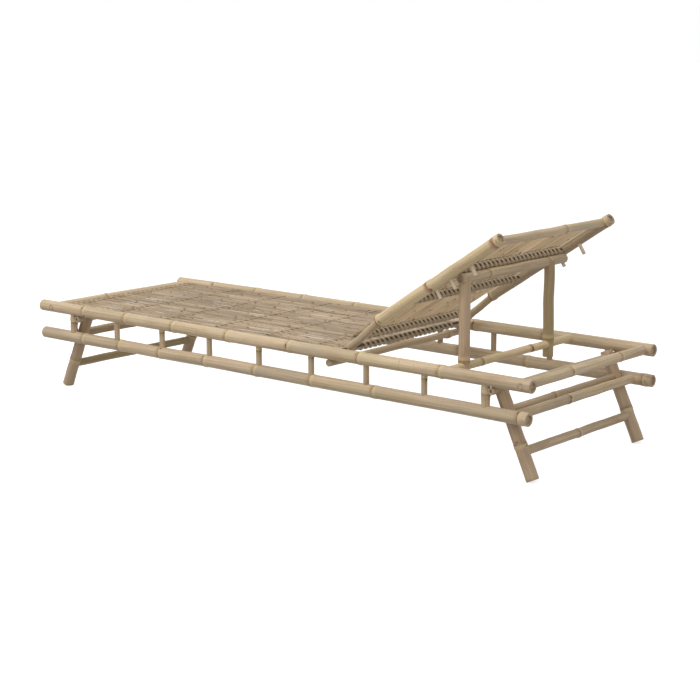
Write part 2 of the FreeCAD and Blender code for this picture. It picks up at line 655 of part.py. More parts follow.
def prop():
    """Swinging frame under the backrest: two posts, a top bar in their forked ends, two pins."""
    pivot = (PROP_AT, 0, PROP_Z)
    lean = "%s / 1 deg - dims.reclineAngle" % BAR_SWING
    posts = {"near": "-dims.propNearPost", "far": "dims.propFarPost"}
    pins = []
    bar_drills = []
    for side, y in posts.items():
        name = "prop_%s_post" % side
        over = "-dims.propPostRadius - dims.drillOver"
        across = "2 * (dims.propPostRadius + dims.drillOver)"
        drills = [stick(name + "_pivot_hole", "y", (0, over, 0), across,
                        "dims.propRodRadius + dims.pivotGap"),
                  stick(name + "_fork", "y", (0, over, "dims.propReach"), across,
                        "dims.propBarRadius + dims.pivotGap"),
                  stick(name + "_pin_hole", "z", (0, 0, "dims.propReach - dims.propBarRadius"
                                                 " - dims.socketDepth"),
                        "dims.socketDepth + dims.propBarRadius",
                        "dims.propPinRadius + dims.socketGap")]
        post = pole(name, "z", "-dims.propTail", "dims.propTail + dims.propReach + dims.propHorn",
                    "dims.propPostRadius", ["dims.propPostKnotAt"], (), drills)
        node(post, name, (pivot[0], y, pivot[2]), lean)
        pin_base = (0, y, "dims.propReach - dims.propBarRadius - dims.socketDepth")
        pins.append(stick(name + "_pin", "z", pin_base,
                          "dims.socketDepth + dims.propBarRadius + dims.propPinHead",
                          "dims.propPinRadius"))
        bar_drills.append(stick(name + "_bar_hole", "z",
                                (0, y, "-dims.propBarRadius - dims.drillOver"),
                                "dims.propBarRadius + dims.drillOver + dims.propPinHead",
                                "dims.propPinRadius + dims.socketGap"))
    bar = pole("prop_bar", "y", "-dims.propBarHalf", "2 * dims.propBarHalf", "dims.propBarRadius",
               (), ("start", "end"), bar_drills)
    locate(bar, (0, 0, "dims.propReach"))
    node(group("prop_bar_group", [bar]), "prop_top_bar", pivot, lean)
    node(group("prop_pin_group", pins), "prop_pins", pivot, lean)


def leg_set(end):
    """Two legs and their stretchers, which fold on a rod at one end of the lounger."""
    out = "1" if end == "head" else "-1"
    tilt = "-dims.legSplay" if end == "head" else "dims.legSplay"
    pivot_x = "%s + %s" % (POSTS[end], LEG_ROD_SHIFT)
    stretchers = {"high": ("dims.highStretcherDrop", "dims.highStretcherRadius"),
                  "low": ("dims.lowStretcherDrop", "dims.lowStretcherRadius")}

    def down(distance):
        """Point on the leg's axis, at a distance below the pivot."""
        return ("%s * %s * sin(dims.legSplay)" % (out, distance), 0,
                "-%s * cos(dims.legSplay)" % distance)

    def slanted(solid):
        solid.Placement.Rotation = FreeCAD.Rotation(Vec(0, 1, 0), 1)
        solid.setExpression("Placement.Rotation.Angle", tilt)
        return solid

    for side, sign in SIDES.items():
        name = "%s_%s_leg" % (side, end)
        culm = slanted(locate(stick(name + "_culm", "z", (0, 0, 0), LEG_LENGTH + " + dims.legTop",
                                    "dims.legRadius"), down(LEG_LENGTH)))
        ring = slanted(locate(knot(name + "_knot", "z", (0, 0, 0), "dims.legRadius"),
                              down("dims.legKnotDrop")))
        foot_bore = slanted(locate(stick(name + "_foot_bore", "z", (0, 0, 0),
                                         "dims.footBoreDepth + dims.drillOver",
                                         "dims.legRadius * dims.footBoreShare"),
                                   down("(%s + dims.drillOver)" % LEG_LENGTH)))
        drills = [foot_bore,
                  stick(name + "_pivot_hole", "y", (0, "-dims.legRadius - dims.drillOver", 0),
                        "2 * (dims.legRadius + dims.drillOver)", "dims.legRodRadius + dims.pivotGap")]
        for which, (drop, radius) in stretchers.items():
            base = list(down(drop))
            base[1] = ("dims.legRadius - dims.socketDepth" if sign < 0
                       else "-dims.legRadius - dims.drillOver")
            drills.append(stick("%s_%s_hole" % (name, which), "y", base,
                                "dims.socketDepth + dims.drillOver", radius + " + dims.socketGap"))
        floor = doc.addObject("Part::Box", name + "_floor")
        bind(floor, {"Length": "2 * " + LEG_LENGTH, "Width": "4 * dims.legRadius",
                     "Height": "2 * dims.legRadius"})
        locate(floor, ("-" + LEG_LENGTH, "-2 * dims.legRadius", "-%s - 2 * dims.legRadius" % LEG_ROD_Z))
        leg = cut(name + "_solid", fused(name + "_grown", [culm, ring]), drills + [floor])
        node(leg, name, (pivot_x, "%d * %s" % (sign, LEG_SIDE), LEG_ROD_Z))
    for which, (drop, radius) in stretchers.items():
        name = "%s_leg_%s_stretcher" % (end, which)
        half = "(%s - dims.legRadius + dims.socketDepth)" % LEG_SIDE
        x, _, z = down(drop)
        bar = pole(name, "y", "-" + half, "2 * " + half, radius, ["dims.%sStretcherKnotAt" % which])
        node(bar, name, ("%s + %s" % (pivot_x, x), 0, "%s + %s" % (LEG_ROD_Z, z)))


for rail_side, rail_level in RAILS:
    long_rail(rail_side, rail_level)
for rail_end in POSTS:
    cross_rail(rail_end)
    stop_sign = "+" if rail_end == "head" else "-"
    set_rod(rail_end + "_stop_rail",
            "%s + %s %s %s" % (POSTS[rail_end], LEG_ROD_SHIFT, stop_sign, STOP_RAIL_SHIFT),
            RAIL_Z["bottom"], "dims.stopRailRadius", ["dims.stopKnotAt"])
    leg_rod(rail_end)
for frame_side in SIDES:
    side_frame(frame_side)
rod_pins()
set_rod("prop_pivot_rod", PROP_AT, PROP_Z, "dims.propRodRadius",
        ["dims.propRodKnotAt"])
set_rod("hinge_bearer", HINGE_AT + " - dims.bearerSetBack", BEARER_Z, "dims.bearerRadius", (),
        "(dims.railSpread / 2 + dims.bearerOverhang)")
seat()
backrest()
prop()
for leg_end in POSTS:
    leg_set(leg_end)

doc.recompute()
for obj in doc.Objects:
    broken = [state for state in obj.State if state in ("Invalid", "Error")]
    if broken:
        raise RuntimeError("%s (%s) is %s" % (obj.Name, obj.Label, broken))
for obj in nodes:
    if obj.Shape.isNull() or not obj.Shape.isValid() or not obj.Shape.Solids:
        raise RuntimeError("bad shape: " + obj.Label)

os.makedirs("parts", exist_ok=True)
for obj in nodes:
    obj.Shape.exportStep("parts/%s.step" % obj.Label)
print("wrote", len(nodes), "nodes,", sum(len(obj.Shape.Solids) for obj in nodes), "solids")
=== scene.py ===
import json
import math

import bpy
import numpy as np
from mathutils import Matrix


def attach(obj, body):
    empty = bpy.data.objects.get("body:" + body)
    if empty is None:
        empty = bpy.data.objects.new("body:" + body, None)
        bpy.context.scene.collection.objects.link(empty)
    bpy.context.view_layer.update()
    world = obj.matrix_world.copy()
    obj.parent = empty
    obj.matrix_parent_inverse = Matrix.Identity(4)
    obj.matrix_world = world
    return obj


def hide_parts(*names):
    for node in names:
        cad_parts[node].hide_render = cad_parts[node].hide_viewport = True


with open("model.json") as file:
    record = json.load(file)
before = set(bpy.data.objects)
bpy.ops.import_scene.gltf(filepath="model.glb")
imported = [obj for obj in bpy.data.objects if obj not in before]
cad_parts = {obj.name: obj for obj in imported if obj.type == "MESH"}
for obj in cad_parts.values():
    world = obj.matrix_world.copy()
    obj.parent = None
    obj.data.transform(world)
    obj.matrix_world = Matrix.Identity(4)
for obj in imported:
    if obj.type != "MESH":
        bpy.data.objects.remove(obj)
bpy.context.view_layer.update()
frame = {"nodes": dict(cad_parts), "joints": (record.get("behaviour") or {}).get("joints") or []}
print("frame loaded,", len(frame["nodes"]), "nodes")

# Directions of the lounger's pieces: the backrest leans back, the legs splay, the prop frame
# points from its pivot to its top bar.
lean = {"recline": math.radians(33.1), "splay": math.radians(24.5), "tongue": math.radians(39.38)}
alongX = np.array([1.0, 0.0, 0.0])
alongY = np.array([0.0, 1.0, 0.0])
alongZ = np.array([0.0, 0.0, 1.0])


def tilted(angle):
    return np.array([math.cos(angle), 0.0, math.sin(angle)])


backWay = tilted(lean["recline"])
backUp = tilted(lean["recline"] + math.pi / 2)
tongueWay = tilted(lean["tongue"])
headLegWay = tilted(lean["splay"] - math.pi / 2)
footLegWay = tilted(-lean["splay"] - math.pi / 2)
joints = {joint["name"]: np.array(joint["pos_m"]) for joint in frame["joints"]}


def cadPoints(node):
    mesh = frame["nodes"][node].data
    points = np.empty(len(mesh.vertices) * 3)
    mesh.vertices.foreach_get("co", points)
    return points.reshape(-1, 3)


propBar = (cadPoints("prop_top_bar").min(axis=0) + cadPoints("prop_top_bar").max(axis=0)) / 2
propWay = (propBar - joints["prop_swing"]) * (1, 0, 1)
propWay /= np.linalg.norm(propWay)


# Splits points into runs wherever their places along a way leave a gap.
def runsAlong(points, way, gap):
    places = points @ way
    order = np.argsort(places)
    breaks = np.flatnonzero(np.diff(places[order]) > gap) + 1
    return [points[part] for part in np.split(order, breaks)]


def crossWays(way):
    side = np.cross(alongZ, way) if abs(way[2]) < 0.9 else np.cross(way, alongY)
    side = side / np.linalg.norm(side)
    return side, np.cross(way, side)


# A point belongs to a node ring if it is swollen times the pole's radius off its axis. Rings are
# further apart than apart, and the pole's radius is read within rim of its end.
nodeReading = {"swollen": 1.03, "apart": 0.02, "rim": 0.001}


# Reads a pole off the frame: its two ends, its radius and its nodes, which stand out from it.
def poleLine(points, way, radiusEnd="end", radius=None):
    side, up = crossWays(way)
    places, across, above = points @ way, points @ side, points @ up
    low, high = places.min(), places.max()
    middle = (across.min() + across.max()) / 2, (above.min() + above.max()) / 2
    distance = np.hypot(across - middle[0], above - middle[1])
    rim = nodeReading["rim"]
    edge = places > high - rim if radiusEnd == "end" else places < low + rim
    radius = radius or distance[edge].max()
    centre = side * middle[0] + up * middle[1]
    swollen = np.sort(places[distance > nodeReading["swollen"] * radius])
    knots = []
    if len(swollen):
        parts = np.split(swollen, np.flatnonzero(np.diff(swollen) > nodeReading["apart"]) + 1)
        knots = [(part.min() + part.max()) / 2 - low for part in parts]
    return {"start": centre + way * low, "way": way, "length": high - low, "radius": radius,
            "knots": np.array(knots)}


def newMesh(name, points, faces, values):
    mesh = bpy.data.meshes.new(name)
    mesh.from_pydata(points, [], faces)
    for label, value in values.items():
        kind = "FLOAT_VECTOR" if value.ndim == 2 else "FLOAT"
        layer = mesh.attributes.new(label, kind, "POINT")
        field = "vector" if value.ndim == 2 else "value"
        layer.data.foreach_set(field, value.ravel().astype(np.float32))
    mesh.polygons.foreach_set("use_smooth", np.ones(len(mesh.polygons), dtype=bool))
    mesh.set_sharp_from_angle(angle=math.radians(48))
    return mesh


def joined(parts):
    points, faces, values, count = [], [], {}, 0
    for partPoints, partFaces, partValues in parts:
        points.append(partPoints)
        faces += [tuple(index + count for index in face) for face in partFaces]
        for label, value in partValues.items():
            values.setdefault(label, []).append(value)
        count += len(partPoints)
    values = {label: np.concatenate(value) for label, value in values.items()}
    return np.vstack(points), faces, values


def piece(name, parts, material, body, nodes=()):
    points, faces, values = joined(parts)
    obj = bpy.data.objects.new(name, newMesh(name, points, faces, values))
    bpy.context.scene.collection.objects.link(obj)
    obj.data.materials.append(material)
    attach(obj, body)
    if nodes:
        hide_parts(*nodes)
    return obj


# Closed skin over rings of points: quads between neighbouring rings, a fan at either end.
def ringFaces(rings, around):
    ring = np.arange(rings - 1)[:, None] * around
    here = np.arange(around)[None, :]
    there = (here + 1) % around
    quads = np.stack([ring + here, ring + there, ring + around + there, ring + around + here], -1)
    faces = [tuple(quad) for quad in quads.reshape(-1, 4).tolist()]
    first, last, final = rings * around, rings * around + 1, (rings - 1) * around
    faces += [(first, (i + 1) % around, i) for i in range(around)]
    faces += [(last, final + i, final + (i + 1) % around) for i in range(around)]
    return faces


# Smooth random curve: sines of rising count over the length, with random size and phase.
def wander(places, length, rng, waves=6):
    counts = np.arange(1, waves + 1)
    sizes = rng.normal(size=waves) / counts
    phases = rng.uniform(0, 2 * np.pi, waves)
    curve = np.sin(np.outer(places / length, counts) * 2 * np.pi + phases) @ sizes
    return curve / np.abs(sizes).sum()


culmLook = {
    "around": 40, "step": 0.012, "swell": 0.075, "swellSpread": 0.0075, "swellChange": 0.4,
    "most": 1.1, "scar": 0.03, "groove": 0.02, "lobes": 0.01, "waist": 0.018, "bend": 0.0011,
    "bore": 0.62, "boreDepth": 0.0055, "chamfer": 0.0009, "marks": (), "paintedShade": 0.0,
}
# Parts of a node: how far fine rings reach from it, where along the pole its swelling, scar and
# groove lie, and how far the last two spread. Farther off than "far" a surface has no node.
nodeShape = {
    "reach": 0.02, "swellAt": 0.003, "scarAt": -0.0045, "scarSpread": 0.0011, "grooveAt": -0.0015,
    "grooveSpread": 0.0016, "far": 0.1,
}


def smooth(value, low, high):
    part = np.clip((value - low) / (high - low), 0, 1)
    return part * part * (3 - 2 * part)


# Whole bamboo pole: a surface of two parameters, the place along it and the turn round it.
# Radius = own radius less a slow waist, plus at each node a thin scar, a groove and a broad
# swelling; the line of the pole wanders a little. A hollow end turns in over the pole's wall, down
# to the slightly domed wall of the node behind it. Painted shade darkens the upper half, for the
# shade that the slats cast on a batten.
def culm(line, seed, hollow=(True, True), tenon=None, look=culmLook):
    rng = np.random.default_rng(seed)
    length, radius, way = line["length"], line["radius"], line["way"]
    knots = np.sort(np.append(line["knots"], look["marks"]))
    around = look["around"]
    chamfer = min(look["chamfer"], radius * 0.08)
    bore, depth = look["bore"] * radius, min(look["boreDepth"], length * 0.2)
    fine = np.linspace(-nodeShape["reach"], nodeShape["reach"], 33)
    near = np.concatenate([fine + knot for knot in knots]) if len(knots) else []
    coarse = np.arange(chamfer, length - chamfer, look["step"])
    places = np.concatenate([coarse, near, [length - chamfer]])
    places = np.unique(np.round(places[(places >= chamfer) & (places <= length - chamfer)], 5))
    far = nodeShape["far"]
    gap = places[:, None] - knots[None, :] if len(knots) else np.full((len(places), 1), far)
    swells = look["swell"] * (1 + look["swellChange"] * rng.uniform(-1, 1, gap.shape[1]))
    swelling = swells * np.exp(-((gap - nodeShape["swellAt"]) / look["swellSpread"]) ** 2)
    scar = look["scar"] * np.exp(-((gap - nodeShape["scarAt"]) / nodeShape["scarSpread"]) ** 2)
    groove = np.exp(-((gap - nodeShape["grooveAt"]) / nodeShape["grooveSpread"]) ** 2)
    groove *= look["groove"]
    profile = 1 + (swelling + scar - groove).sum(axis=1)
    profile -= look["waist"] * (0.5 + 0.5 * wander(places, length, rng))
    outer = radius * np.minimum(profile, look["most"])
    if tenon:
        inTenon = (places < tenon["length"]) | (places > length - tenon["length"])
        outer = np.where(inTenon, tenon["radius"], outer)
        bore = tenon["radius"] * look["bore"]
    endRadius = tenon["radius"] if tenon else radius
    inward = [(depth * 0.7, bore * 0.3, 1), (depth * 0.85, bore * 0.75, 1), (depth, bore, 1),
              (0, bore, 1), (0, endRadius - chamfer, 1)]
    solid = [(0, endRadius - chamfer, 1)]
    startRings = inward if hollow[0] else solid
    endRings = (inward if hollow[1] else solid)[::-1]
    starts, ends = np.array(startRings), np.array(endRings)
    ringPlace = np.concatenate([starts[:, 0], places, length - ends[:, 0]])
    ringRadius = np.concatenate([starts[:, 1], outer, ends[:, 1]])
    cut = np.concatenate([starts[:, 2], np.zeros(len(places)), ends[:, 2]])
    turn = np.linspace(0, 2 * np.pi, around, endpoint=False)
    lobes = 1 - look["lobes"] * (0.5 + 0.5 * np.cos(2 * turn + rng.uniform(0, 6)))
    spread = ringRadius[:, None] * lobes[None, :]
    side, up = crossWays(way)
    window = np.sin(np.clip(ringPlace / length, 0, 1) * np.pi) ** 0.5 * look["bend"]
    shift = wander(ringPlace, length, rng)[:, None] * side
    shift = shift + wander(ringPlace, length, rng)[:, None] * up
    axis = line["start"] + ringPlace[:, None] * way + shift * window[:, None]
    spokes = np.cos(turn)[:, None] * side + np.sin(turn)[:, None] * up
    points = (axis[:, None, :] + spread[:, :, None] * spokes[None, :, :]).reshape(-1, 3)
    points = np.vstack([points, axis[:1], axis[-1:]])
    offset = rng.uniform(0, 40, 3)
    grain = np.stack([spread * np.cos(turn), spread * np.sin(turn),
                      np.repeat(ringPlace[:, None], around, axis=1)], -1).reshape(-1, 3)
    grain = np.vstack([grain, [[0, 0, ringPlace[0]], [0, 0, ringPlace[-1]]]]) + offset
    nearest = np.full(len(ringPlace), far)
    if len(knots):
        gaps = ringPlace[:, None] - knots[None, :]
        nearest = gaps[np.arange(len(gaps)), np.abs(gaps).argmin(axis=1)]
    joint = np.append(np.repeat(np.clip(nearest, -far, far), around), [far, far])
    tones = rng.uniform(-1, 1, len(knots) + 1) * 0.6 + rng.uniform(-1, 1) * 0.4
    tone = np.append(np.repeat(tones[np.searchsorted(knots, ringPlace)], around), [0, 0])
    # Painted shade: the upper half of the pole is darkened, most on top, for the shade under the slats.
    paintedShade = look["paintedShade"] * smooth(spokes[:, 2], -0.1, 0.5)
    values = {"grain": grain, "joint": joint, "tone": tone,
              "cut": np.append(np.repeat(cut, around), [1, 1]),
              "paintedShade": np.append(np.tile(paintedShade, len(ringPlace)), [0, 0])}
    return points, ringFaces(len(ringPlace), around), values


# Tube of oval section swept along a path of points: at each point the section stands square to
# the path, with its flat side along a given outward direction.
def tube(path, outward, halfWidth, halfThick, around, seed):
    rng = np.random.default_rng(seed)
    ahead = np.gradient(path, axis=0)
    ahead /= np.linalg.norm(ahead, axis=1)[:, None]
    outward = outward - (outward * ahead).sum(axis=1)[:, None] * ahead
    outward /= np.linalg.norm(outward, axis=1)[:, None]
    across = np.cross(ahead, outward)
    turn = np.linspace(0, 2 * np.pi, around, endpoint=False)
    section = (across[:, None, :] * np.cos(turn)[None, :, None] * halfWidth
               + outward[:, None, :] * np.sin(turn)[None, :, None] * halfThick)
    points = np.vstack([(path[:, None, :] + section).reshape(-1, 3), path[:1], path[-1:]])
    run = np.concatenate([[0], np.cumsum(np.linalg.norm(np.diff(path, axis=0), axis=1))])
    grain = np.stack([np.tile(np.cos(turn) * halfWidth, len(path)),
                      np.tile(np.sin(turn) * halfThick, len(path)), np.repeat(run, around)], -1)
    grain = np.vstack([grain, [[0, 0, run[0]], [0, 0, run[-1]]]]) + rng.uniform(0, 40, 3)
    count = len(points)
    tone = np.full(count, rng.uniform(-1, 1))
    values = {"grain": grain, "joint": np.full(count, nodeShape["far"]), "tone": tone,
              "cut": np.zeros(count), "paintedShade": np.zeros(count)}
    return points, ringFaces(len(path), around), values


# Colours are the photograph's, read as linear values.
bambooColours = {
    "pale": (0.64, 0.50, 0.33), "tan": (0.47, 0.34, 0.208), "fibre": (0.25, 0.17, 0.095),
    "grey": (0.40, 0.335, 0.26), "green": (0.42, 0.38, 0.17), "brown": (0.30, 0.19, 0.11),
    "nodeLight": (0.62, 0.50, 0.26), "nodeWarm": (0.34, 0.20, 0.10), "nodeDark": (0.15, 0.085, 0.045),
    "cut": (0.56, 0.44, 0.30), "pith": (0.28, 0.19, 0.115), "spot": (0.13, 0.075, 0.04),
    # painted shade, near black, for the shade between battens and slats
    "paintedShade": (0.035, 0.02, 0.011),
}


# How finely each pattern repeats, per metre: twice across the grain, then along it.
grainScales = {
    "fine": (1100, 1100, 16), "streak": (230, 230, 3.2), "patch": (26, 26, 7.5),
    "weather": (17, 17, 4.2), "green": (19, 19, 3.1), "broken": (75, 75, 60),
    "spots": (210, 210, 95), "stretch": (90, 90, 7), "crack": (520, 520, 2.6),
    "branch": (52, 52, 70), "pores": (2600, 2600, 400), "mottle": (210, 210, 210),
    "nail": (700, 700, 700),
}


# Small set of calls for laying out a material's nodes.
class Shading:
    def __init__(self, name):
        self.material = bpy.data.materials.new(name)
        self.material.use_nodes = True
        self.tree = self.material.node_tree
        self.shader = self.tree.nodes["Principled BSDF"]

    def node(self, kind, **settings):
        made = self.tree.nodes.new(kind)
        for key, value in settings.items():
            setattr(made, key, value)
        return made

    def link(self, source, target):
        if hasattr(source, "is_output") or hasattr(source, "links"):
            self.tree.links.new(source, target)
        else:
            target.default_value = source

    def attribute(self, name, output="Fac"):
        return self.node("ShaderNodeAttribute", attribute_name=name).outputs[output]

    def math(self, operation, a, b=0.0, clamp=False):
        made = self.node("ShaderNodeMath", operation=operation, use_clamp=clamp)
        self.link(a, made.inputs[0])
        self.link(b, made.inputs[1])
        return made.outputs[0]

    def band(self, value, low, high, start=0.0, end=1.0):
        made = self.node("ShaderNodeMapRange", interpolation_type="SMOOTHSTEP")
        self.link(value, made.inputs["Value"])
        for key, number in zip(("From Min", "From Max", "To Min", "To Max"), (low, high, start, end)):
            made.inputs[key].default_value = number
        return made.outputs[0]

    def noise(self, vector, scale, detail=3.0, rough=0.55):
        spread = self.node("ShaderNodeVectorMath", operation="MULTIPLY")
        self.link(vector, spread.inputs[0])
        spread.inputs[1].default_value = scale
        made = self.node("ShaderNodeTexNoise")
        made.inputs["Scale"].default_value = 1.0
        made.inputs["Detail"].default_value = detail
        made.inputs["Roughness"].default_value = rough
        self.link(spread.outputs[0], made.inputs["Vector"])
        return made.outputs["Fac"]

    # Scattered spots: round a few points of a cell pattern, of which only a share is kept.
    def spots(self, vector, scale, size, share=0.27):
        spread = self.node("ShaderNodeVectorMath", operation="MULTIPLY")
        self.link(vector, spread.inputs[0])
        spread.inputs[1].default_value = scale
        made = self.node("ShaderNodeTexVoronoi")
        made.inputs["Scale"].default_value = 1.0
        self.link(spread.outputs[0], made.inputs["Vector"])
        rare = self.node("ShaderNodeSeparateColor")
        self.tree.links.new(made.outputs["Color"], rare.inputs[0])
        chosen = self.band(rare.outputs[0], 0.99 - share, 1.01 - share)
        return self.product(self.band(made.outputs["Distance"], size, size * 0.4), chosen)

    def product(self, *factors):
        result = factors[0]
        for factor in factors[1:]:
            result = self.math("MULTIPLY", result, factor)
        return result

    def mix(self, amount, first, second, blend="MIX"):
        made = self.node("ShaderNodeMix", data_type="RGBA", blend_type=blend)
        self.link(amount, made.inputs[0])
        for socket, value in ((made.inputs[6], first), (made.inputs[7], second)):
            self.link((*value, 1.0) if isinstance(value, tuple) else value, socket)
        return made.outputs[2]


# Bamboo skin: long fibres and streaks along the culm, a tone for each internode, patches that
# stayed green or went grey or brown. At a node, a broken dark line with a warm halo before it, a
# paler band after it and the scars of branches. Then specks, cracks, cut ends and painted shade.
def bambooMaterial(name, look):
    shade = Shading(name)
    colours = {**bambooColours, **look.get("colours", {})}
    grain = shade.attribute("grain", "Vector")
    joint, tone, cut = shade.attribute("joint"), shade.attribute("tone"), shade.attribute("cut")
    fine = shade.noise(grain, grainScales["fine"], 4)
    streak = shade.noise(grain, grainScales["streak"], 4)
    patch = shade.noise(grain, grainScales["patch"], 3)
    weather = shade.noise(grain, grainScales["weather"], 3)
    green = shade.noise(grain, grainScales["green"], 2)
    broken = shade.noise(grain, grainScales["broken"], 2)
    base = shade.mix(shade.band(streak, 0.3, 0.72), colours["pale"], colours["tan"])
    base = shade.mix(shade.product(shade.band(weather, 0.46, 0.72), look["grey"]), base, colours["grey"])
    base = shade.mix(shade.product(shade.band(patch, 0.5, 0.78), look["patch"]), base, colours["brown"])
    base = shade.mix(shade.product(shade.band(green, 0.46, 0.72), look["green"]), base, colours["green"])
    base = shade.mix(shade.product(shade.band(fine, 0.5, 0.78), look["fibre"]), base, colours["fibre"])
    specks = shade.spots(grain, grainScales["spots"], 0.3)
    base = shade.mix(shade.product(specks, look["spots"]), base, colours["spot"])
    stretch = shade.band(shade.noise(grain, grainScales["stretch"], 2), 0.5, 0.6)
    crack = shade.band(shade.noise(grain, grainScales["crack"], 2), 0.6, 0.66)
    base = shade.mix(shade.product(crack, stretch, look["cracks"]), base, colours["spot"])
    lift = shade.math("ADD", shade.product(tone, look["tone"]), 1.0)
    brightness = shade.node("ShaderNodeVectorMath", operation="SCALE")
    shade.link(base, brightness.inputs[0])
    shade.link(lift, brightness.inputs["Scale"])
    base = brightness.outputs[0]
    wavy = shade.math("ADD", joint, shade.product(shade.math("SUBTRACT", broken, 0.5), 0.009))
    before = shade.product(shade.band(wavy, -0.02, -0.003), shade.band(wavy, 0.002, -0.001))
    after = shade.product(shade.band(wavy, 0.0, 0.003), shade.band(wavy, 0.017, 0.006))
    line = shade.band(shade.math("ABSOLUTE", shade.math("ADD", joint, 0.0025)), 0.0026, 0.0009)
    branch = shade.product(shade.spots(grain, grainScales["branch"], 0.42, 0.3),
                           shade.band(shade.math("ABSOLUTE", joint), 0.014, 0.007))
    base = shade.mix(shade.product(before, look["halo"]), base, colours["nodeWarm"])
    base = shade.mix(shade.product(after, look["nodeLight"]), base, colours["nodeLight"])
    dark = shade.product(line, shade.band(broken, 0.4, 0.6), look["scar"])
    base = shade.mix(dark, base, colours["nodeDark"])
    base = shade.mix(shade.product(branch, look["branches"]), base, colours["nodeDark"])
    pores = shade.noise(grain, grainScales["pores"], 2)
    mottle = shade.noise(grain, grainScales["mottle"], 3)
    face = shade.mix(shade.band(pores, 0.42, 0.66), colours["cut"], colours["pith"])
    face = shade.mix(shade.band(mottle, 0.45, 0.7), face, colours["pith"])
    base = shade.mix(cut, base, face)
    # Painted shade: near-black mixed in by the attribute, for the shade between battens and slats.
    base = shade.mix(shade.attribute("paintedShade"), base, colours["paintedShade"])
    shade.link(base, shade.shader.inputs["Base Color"])
    rough = shade.band(streak, 0.2, 0.8, look["rough"] - 0.06, look["rough"] + 0.12)
    rough = shade.math("MAXIMUM", rough, shade.product(cut, 0.8))
    shade.link(rough, shade.shader.inputs["Roughness"])
    shade.shader.inputs["Specular IOR Level"].default_value = look["shine"]
    relief = shade.math("ADD", shade.product(fine, 0.5), shade.product(streak, 0.9))
    relief = shade.math("SUBTRACT", relief, shade.product(crack, stretch, look["cracks"]))
    bump = shade.node("ShaderNodeBump")
    bump.inputs["Strength"].default_value = look["bump"]
    bump.inputs["Distance"].default_value = 0.0012
    shade.link(relief, bump.inputs["Height"])
    shade.link(bump.outputs[0], shade.shader.inputs["Normal"])
    return shade.material


poleLook = {"patch": 0.4, "grey": 0.45, "green": 0.28, "fibre": 0.4, "spots": 0.35, "cracks": 0.0,
            "tone": 0.13, "halo": 0.5, "nodeLight": 0.5, "scar": 0.65, "branches": 0.85,
            "rough": 0.5, "shine": 0.35, "bump": 0.4}
poleSkin = bambooMaterial("Bamboo pole", poleLook)
legSkin = bambooMaterial("Bamboo pole, pinkish", {
    **poleLook, "grey": 0.3, "green": 0.12, "patch": 0.55,
    "colours": {"pale": (0.56, 0.41, 0.265), "tan": (0.41, 0.275, 0.165)}})
stickSkin = bambooMaterial("Bamboo stick", {
    **poleLook, "patch": 0.5, "grey": 0.3, "green": 0.22,
    "colours": {"pale": (0.58, 0.45, 0.295), "tan": (0.42, 0.30, 0.18)}})
oliveSkin = bambooMaterial("Bamboo stick, olive", {
    **poleLook, "patch": 0.4, "grey": 0.1, "green": 0.5,
    "colours": {"pale": (0.45, 0.335, 0.19), "tan": (0.31, 0.21, 0.108)}})
greenSkin = bambooMaterial("Bamboo pole, yellow-green", {
    **poleLook, "green": 0.6, "grey": 0.15, "patch": 0.3, "halo": 0.75,
    "colours": {"pale": (0.76, 0.60, 0.37), "tan": (0.60, 0.45, 0.25), "nodeWarm": (0.36, 0.15, 0.085)}})
slatSkin = bambooMaterial("Split bamboo", {
    **poleLook, "patch": 0.4, "grey": 0.6, "green": 0.06, "fibre": 0.75, "spots": 0.7,
    "cracks": 0.95, "tone": 0.3, "nodeLight": 0.35, "rough": 0.6, "bump": 0.7, "shine": 0.25,
    "colours": {"pale": (0.76, 0.61, 0.44), "tan": (0.54, 0.415, 0.29)}})
backSlatSkin = bambooMaterial("Split bamboo, inner side", {
    **poleLook, "patch": 0.3, "grey": 0.2, "green": 0.15, "fibre": 0.6, "spots": 0.5,
    "cracks": 0.8, "tone": 0.2, "rough": 0.65, "bump": 0.7, "shine": 0.25,
    "colours": {"pale": (0.70, 0.54, 0.35), "tan": (0.50, 0.355, 0.215)}})
pegSkin = bambooMaterial("Whittled bamboo", {
    **poleLook, "patch": 0.1, "grey": 0.1, "green": 0.0, "fibre": 0.25, "spots": 0.1, "tone": 0.08,
    "colours": {"pale": (0.72, 0.61, 0.46), "tan": (0.62, 0.50, 0.35)}})
cordSkin = bambooMaterial("Cane strand", {
    **poleLook, "patch": 0.2, "grey": 0.2, "green": 0.0, "fibre": 0.5, "spots": 0.2, "tone": 0.15,
    "colours": {"pale": (0.62, 0.50, 0.34), "tan": (0.50, 0.385, 0.245)}})
print("materials made")

